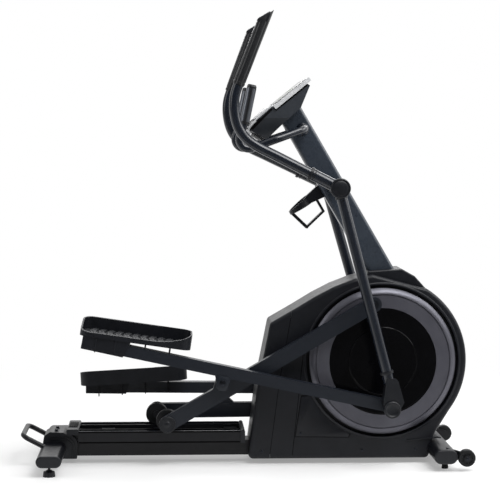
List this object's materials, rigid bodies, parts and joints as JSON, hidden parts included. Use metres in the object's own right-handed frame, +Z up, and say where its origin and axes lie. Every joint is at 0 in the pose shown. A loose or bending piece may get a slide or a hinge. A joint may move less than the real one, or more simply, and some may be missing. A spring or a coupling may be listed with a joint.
{
  "type": "elliptical trainer",
  "caption": "Front-drive elliptical trainer with rocking hand arms, ramp-guided pedals, a covered crank disc, a leaning mast with console and fixed grips, transport wheels and levelling feet.",
  "frame": {"origin": "on the floor under the middle of the machine's length and width", "axes": "+X towards the front where the crank housing is and the user faces, +Y to the user's left, +Z up"},
  "size_m": [1.721, 0.6, 1.722],
  "materials": {
    "frame_paint": "satin dark blue-grey powder coat",
    "shroud": "fine textured near-black",
    "disc_ring": "satin warm grey",
    "disc_centre": "gloss black",
    "console": "matte charcoal",
    "display": "pale display face",
    "pedal": "matte black",
    "trim": "matte black",
    "grip": "matte foam",
    "rubber": "matte",
    "roller": "polyurethane",
    "bright_steel": "zinc plated",
    "iron": "machined",
    "pulley": "filled nylon",
    "board": "circuit board",
    "bracket": "zinc"
  },
  "bodies": {
    "frame": {"arm_shaft": "bright_steel", "base_frame": "frame_paint", "bottle_holder": "trim", "brake_unit": "bracket", "console_display": "display", "console_keypad": "console", "console_shell": "console", "control_board": "board", "crank_bearings": "bright_steel", "drive_belt": "rubber", "front_feet": "rubber", "front_stabilizer": "frame_paint", "handlebar": "frame_paint", "left_shroud": "shroud", "lift_handle": "frame_paint", "mast": "frame_paint", "mast_boot": "shroud", "pulse_grips": "grip", "ramp_bumpers": "rubber", "ramp_end_stops": "trim", "ramp_rails": "frame_paint", "rear_cover": "trim", "rear_panel": "shroud", "rear_stabilizer": "frame_paint", "right_shroud": "shroud", "stabilizer_caps": "trim"},
    "crank": {"crank_axle": "bright_steel", "drive_pulley": "pulley", "right_crank_arm": "frame_paint", "left_crank_arm": "frame_paint", "right_disc_ring": "disc_ring", "left_disc_ring": "disc_ring", "right_disc_centre": "disc_centre", "left_disc_centre": "disc_centre"},
    "flywheel": {"flywheel": "iron"},
    "idler": {"idler_pulley": "pulley"},
    "right_arm": {"right_swing_arm": "frame_paint", "right_upper_arm": "frame_paint", "right_grip": "grip", "right_arm_covers": "trim"},
    "right_pedal": {"right_pedal_arm": "frame_paint", "right_pedal": "pedal"},
    "right_carriage": {"right_roller_axle": "bright_steel"},
    "right_link": {"right_roller_link": "frame_paint", "right_crank_pin": "bright_steel"},
    "right_roller": {"right_roller": "roller"},
    "right_wheel": {"right_wheel": "roller"},
    "right_leveller": {"right_leveller": "trim"},
    "left_arm": {"left_swing_arm": "frame_paint", "left_upper_arm": "frame_paint", "left_grip": "grip", "left_arm_covers": "trim"},
    "left_pedal": {"left_pedal_arm": "frame_paint", "left_pedal": "pedal"},
    "left_carriage": {"left_roller_axle": "bright_steel"},
    "left_link": {"left_roller_link": "frame_paint", "left_crank_pin": "bright_steel"},
    "left_roller": {"left_roller": "roller"},
    "left_wheel": {"left_wheel": "roller"},
    "left_leveller": {"left_leveller": "trim"}
  },
  "joints": [
    {"name": "right_arm_swing", "type": "hinge", "parent": "frame", "child": "right_arm", "pos_m": [0.341, 0, 1.0685], "axis": [0, -1, 0], "range_deg": [0, 15.99]},
    {"name": "right_pedal_pivot", "type": "hinge", "parent": "right_arm", "child": "right_pedal", "pos_m": [0.54032, 0, 0.24117], "axis": [0, -1, 0], "range_deg": [-3.71, 0]},
    {"name": "right_stride", "type": "slide", "parent": "frame", "child": "right_carriage", "axis": [1, 0, 0], "range_m": [0, 0.18376]},
    {"name": "right_link_tilt", "type": "hinge", "parent": "right_carriage", "child": "right_link", "pos_m": [-0.29969, 0, 0.169], "axis": [0, -1, 0], "range_deg": [-12.68, 0]},
    {"name": "right_roller_roll", "type": "hinge", "parent": "right_carriage", "child": "right_roller", "pos_m": [-0.29969, 0, 0.169], "axis": [0, 1, 0], "continuous": true},
    {"name": "left_arm_swing", "type": "hinge", "parent": "frame", "child": "left_arm", "pos_m": [0.341, 0, 1.0685], "axis": [0, -1, 0], "range_deg": [-17.56, 0]},
    {"name": "left_pedal_pivot", "type": "hinge", "parent": "left_arm", "child": "left_pedal", "pos_m": [0.55941, 0, 0.246], "axis": [0, -1, 0], "range_deg": [0, 10.39]},
    {"name": "left_stride", "type": "slide", "parent": "frame", "child": "left_carriage", "axis": [1, 0, 0], "range_m": [-0.24417, 0]},
    {"name": "left_link_tilt", "type": "hinge", "parent": "left_carriage", "child": "left_link", "pos_m": [-0.34069, 0, 0.169], "axis": [0, -1, 0], "range_deg": [0, 11.68]},
    {"name": "left_roller_roll", "type": "hinge", "parent": "left_carriage", "child": "left_roller", "pos_m": [-0.34069, 0, 0.169], "axis": [0, 1, 0], "continuous": true},
    {"name": "crank_turn", "type": "hinge", "parent": "frame", "child": "crank", "pos_m": [0.527, 0, 0.399], "axis": [0, 1, 0], "continuous": true},
    {"name": "flywheel_spin", "type": "hinge", "parent": "frame", "child": "flywheel", "pos_m": [0.235, 0, 0.296], "axis": [0, 1, 0], "continuous": true},
    {"name": "idler_spin", "type": "hinge", "parent": "frame", "child": "idler", "pos_m": [0.31598, 0, 0.24045], "axis": [0, 1, 0], "continuous": true},
    {"name": "right_wheel_spin", "type": "hinge", "parent": "frame", "child": "right_wheel", "pos_m": [0.828, -0.234, 0.051], "axis": [0, 1, 0], "continuous": true},
    {"name": "right_leveller_turn", "type": "hinge", "parent": "frame", "child": "right_leveller", "pos_m": [-0.738, -0.266, 0.012], "axis": [0, 0, 1], "continuous": true},
    {"name": "left_wheel_spin", "type": "hinge", "parent": "frame", "child": "left_wheel", "pos_m": [0.828, 0.234, 0.051], "axis": [0, 1, 0], "continuous": true},
    {"name": "left_leveller_turn", "type": "hinge", "parent": "frame", "child": "left_leveller", "pos_m": [-0.738, 0.266, 0.012], "axis": [0, 0, 1], "continuous": true}
  ],
  "couplings": [
    {"joint": "right_pedal_pivot", "follows": "right_arm_swing", "ratio": -0.23186},
    {"joint": "right_stride", "follows": "right_arm_swing", "m_per_rad": 0.65855},
    {"joint": "right_link_tilt", "follows": "right_arm_swing", "ratio": -0.79281},
    {"joint": "right_roller_roll", "follows": "right_arm_swing", "ratio": 15.139},
    {"joint": "left_arm_swing", "follows": "right_arm_swing", "ratio": -1.0981},
    {"joint": "left_pedal_pivot", "follows": "right_arm_swing", "ratio": 0.65005},
    {"joint": "left_stride", "follows": "right_arm_swing", "m_per_rad": -0.87505},
    {"joint": "left_link_tilt", "follows": "right_arm_swing", "ratio": 0.73027},
    {"joint": "left_roller_roll", "follows": "right_arm_swing", "ratio": -20.116},
    {"joint": "crank_turn", "follows": "right_arm_swing", "ratio": 5.6294},
    {"joint": "flywheel_spin", "follows": "right_arm_swing", "ratio": 33.776},
    {"joint": "idler_spin", "follows": "right_arm_swing", "ratio": -42.22}
  ]
}
